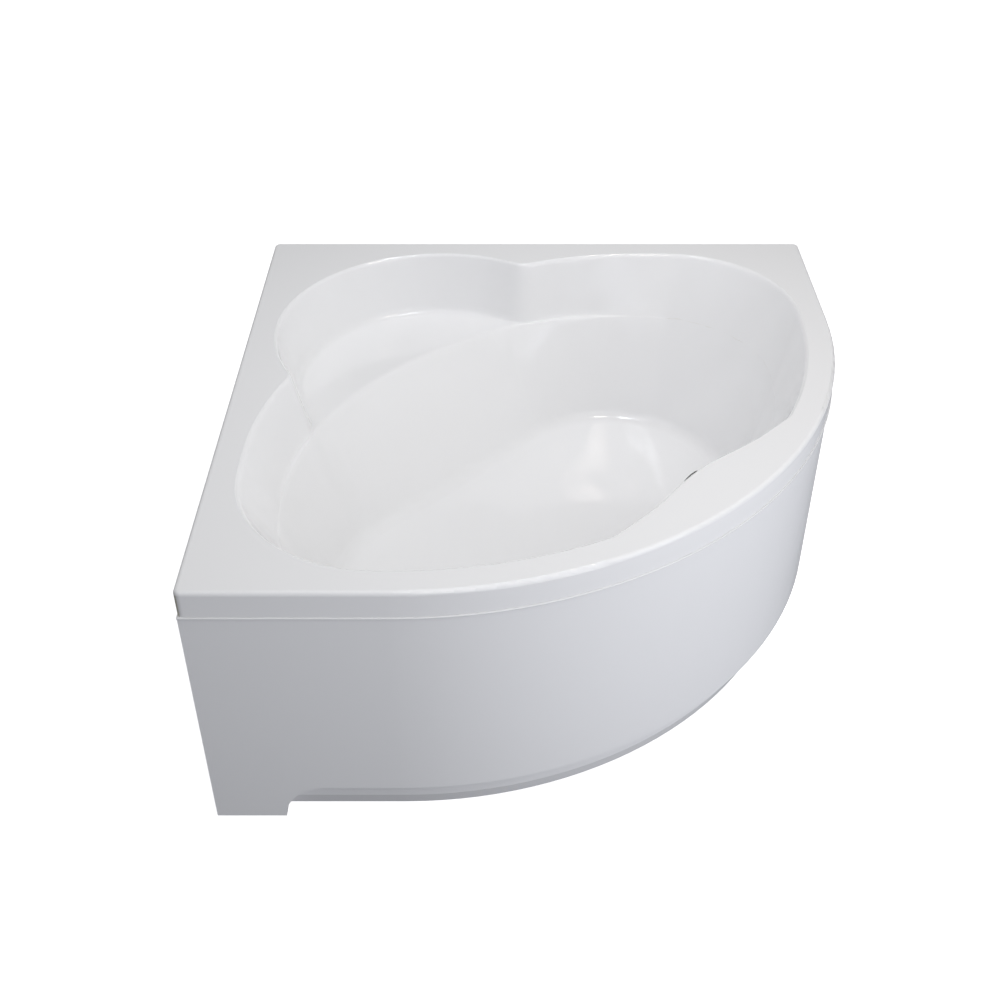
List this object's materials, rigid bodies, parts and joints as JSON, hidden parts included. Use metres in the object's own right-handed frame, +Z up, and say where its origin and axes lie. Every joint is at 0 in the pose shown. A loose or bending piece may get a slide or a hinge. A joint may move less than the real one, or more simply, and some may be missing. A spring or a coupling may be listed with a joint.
{
  "type": "corner bathtub",
  "caption": "Corner bathtub: moulded basin with a corner seat, curved front panel with a toe recess, steel leg frame, timber battens, pop-up waste and overflow knob.",
  "frame": {"origin": "on the floor, under the middle of the square that the bath fills", "axes": "+Z up, +Y to the back wall, +X to the right along that wall; the room corner is at -X, +Y"},
  "size_m": [1.4, 1.4, 0.64],
  "materials": {
    "acrylic": "gloss white",
    "panel": "gloss white",
    "timber": "sawn softwood",
    "board": "chipboard",
    "frame_steel": "galvanised grey",
    "zinc_steel": "zinc plated",
    "black_plastic": "matt black",
    "pipe_plastic": "satin white",
    "rubber": "matt black",
    "dark_metal": "dark chrome"
  },
  "bodies": {
    "bath": {"base_board": "board", "bath_shell": "acrylic", "batten_back": "timber", "batten_front": "timber", "batten_left": "timber", "drain_flange": "dark_metal", "drain_gasket": "rubber", "front_panel": "panel", "leg_nuts": "zinc_steel", "outlet_nut": "pipe_plastic", "outlet_tail": "pipe_plastic", "overflow_body": "pipe_plastic", "overflow_gasket": "rubber", "overflow_nut_lower": "pipe_plastic", "overflow_nut_upper": "pipe_plastic", "overflow_pipe": "pipe_plastic", "overflow_plate": "dark_metal", "panel_clips": "zinc_steel", "post_corner": "frame_steel", "post_left": "frame_steel", "post_right": "frame_steel", "post_seat": "frame_steel", "rail_caps": "black_plastic", "rail_front": "frame_steel", "rail_middle": "frame_steel", "rail_rear": "frame_steel", "seat_board": "board", "spine": "frame_steel", "stay_left": "zinc_steel", "stay_right": "zinc_steel", "tie_front_left": "frame_steel", "tie_front_right": "frame_steel", "tie_rear_left": "frame_steel", "tie_rear_right": "frame_steel", "trap_bend": "pipe_plastic", "trap_nut": "pipe_plastic", "wall_brackets": "zinc_steel", "waste_body": "pipe_plastic"},
    "plug": {"drain_plug": "dark_metal", "plug_seal": "rubber"},
    "knob": {"overflow_knob": "dark_metal"},
    "leg_front_left": {"stud_front_left": "zinc_steel", "foot_front_left": "black_plastic"},
    "leg_front_right": {"stud_front_right": "zinc_steel", "foot_front_right": "black_plastic"},
    "leg_side_left": {"stud_side_left": "zinc_steel", "foot_side_left": "black_plastic"},
    "leg_side_right": {"stud_side_right": "zinc_steel", "foot_side_right": "black_plastic"},
    "leg_rear": {"stud_rear": "zinc_steel", "foot_rear": "black_plastic"}
  },
  "joints": [
    {"name": "knob_turn", "type": "hinge", "parent": "bath", "child": "knob", "pos_m": [0.30464, -0.30464, 0.588], "axis": [-0.6831, 0.6831, 0.2584], "range_deg": [0, 90]},
    {"name": "plug_lift", "type": "slide", "parent": "bath", "child": "plug", "axis": [0, 0, 1], "range_m": [0, 0.012]},
    {"name": "leg_front_left_screw", "type": "slide", "parent": "bath", "child": "leg_front_left", "axis": [0, 0, -1], "range_m": [0, 0.02]},
    {"name": "leg_front_right_screw", "type": "slide", "parent": "bath", "child": "leg_front_right", "axis": [0, 0, -1], "range_m": [0, 0.02]},
    {"name": "leg_side_left_screw", "type": "slide", "parent": "bath", "child": "leg_side_left", "axis": [0, 0, -1], "range_m": [0, 0.02]},
    {"name": "leg_side_right_screw", "type": "slide", "parent": "bath", "child": "leg_side_right", "axis": [0, 0, -1], "range_m": [0, 0.02]},
    {"name": "leg_rear_screw", "type": "slide", "parent": "bath", "child": "leg_rear", "axis": [0, 0, -1], "range_m": [0, 0.02]}
  ],
  "couplings": [
    {"joint": "plug_lift", "follows": "knob_turn", "m_per_rad": 0.0076394}
  ]
}
